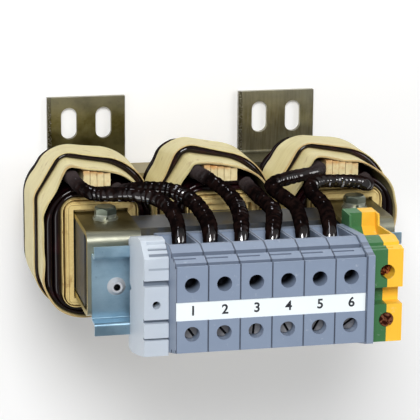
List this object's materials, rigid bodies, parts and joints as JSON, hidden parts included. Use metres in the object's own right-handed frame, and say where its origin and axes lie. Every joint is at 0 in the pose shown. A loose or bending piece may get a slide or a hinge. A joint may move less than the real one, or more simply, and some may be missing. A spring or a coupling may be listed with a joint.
{
  "type": "three-phase reactor",
  "caption": "Open three-leg iron-core reactor with taped coils, slotted feet, and sleeved leads to a row of rail-mounted screw terminals.",
  "frame": {"origin": "on the mounting plane under the feet, below the middle leg, at the centre of the bounding box's base", "axes": "+Z from the mounting plane along the coil axes to the terminals; +X along the rail towards the ground terminal; +Y across the lamination stack, to the side where the coil leads enter the terminals"},
  "size_m": [0.1496, 0.0908, 0.1765],
  "materials": {
    "core_steel": "varnished laminated steel, sheet edges showing",
    "hard_spacer": "glass-fibre board",
    "pressboard": "varnished pressboard",
    "coil_paper": "creped insulating paper, varnish-stained",
    "enamelled_wire": "dark glossy enamel under varnish",
    "duct_wood": "rough cut end grain",
    "bracket_steel": "olive passivated zinc sheet",
    "zinc_fastener": "passivated zinc plate",
    "rail_zinc": "blue passivated zinc sheet",
    "rivet_aluminium": "bare aluminium",
    "block_grey": "moulded polyamide",
    "marker_white": "satin strip",
    "cage_metal": "plated steel",
    "screw_metal": "plated steel",
    "bar_copper": "tinned copper",
    "ground_green": "moulded polyamide",
    "ground_yellow": "moulded polyamide",
    "clamp_light_grey": "moulded polyamide",
    "lead_sleeve": "varnished sleeving"
  },
  "bodies": {
    "root": {"core_e_stack": "core_steel", "core_front_yoke": "core_steel", "air_gap_spacers": "hard_spacer", "coil_former_1": "pressboard", "leg_wrap_1": "coil_paper", "inner_winding_1": "enamelled_wire", "packing_sticks_1": "duct_wood", "inner_paper_1": "coil_paper", "outer_winding_1": "enamelled_wire", "outer_paper_1": "coil_paper", "coil_former_2": "pressboard", "leg_wrap_2": "coil_paper", "inner_winding_2": "enamelled_wire", "packing_sticks_2": "duct_wood", "inner_paper_2": "coil_paper", "outer_winding_2": "enamelled_wire", "outer_paper_2": "coil_paper", "coil_former_3": "pressboard", "leg_wrap_3": "coil_paper", "inner_winding_3": "enamelled_wire", "packing_sticks_3": "duct_wood", "inner_paper_3": "coil_paper", "outer_winding_3": "enamelled_wire", "outer_paper_3": "coil_paper", "leg_wedges": "pressboard", "front_clamp_left": "bracket_steel", "front_clamp_right": "bracket_steel", "foot_upper_left": "bracket_steel", "foot_upper_right": "bracket_steel", "foot_lower_left": "bracket_steel", "foot_lower_right": "bracket_steel", "hex_bolts": "zinc_fastener", "hex_nuts": "zinc_fastener", "plain_washers": "zinc_fastener", "spring_washers": "zinc_fastener", "din_rail": "rail_zinc", "rail_rivets": "rivet_aluminium", "terminal_housing_1": "block_grey", "terminal_housing_2": "block_grey", "terminal_housing_3": "block_grey", "terminal_housing_4": "block_grey", "terminal_housing_5": "block_grey", "terminal_housing_6": "block_grey", "terminal_end_plate": "block_grey", "marker_strip": "marker_white", "clamp_cages": "cage_metal", "clamp_screws": "screw_metal", "current_bars": "bar_copper", "ground_housing_green": "ground_green", "ground_housing_yellow": "ground_yellow", "ground_rail_foot": "bar_copper", "end_clamp": "clamp_light_grey", "end_clamp_screw": "screw_metal", "lead_1": "lead_sleeve", "lead_2": "lead_sleeve", "lead_3": "lead_sleeve", "lead_4": "lead_sleeve", "lead_5": "lead_sleeve", "lead_6": "lead_sleeve"}
  },
  "joints": []
}
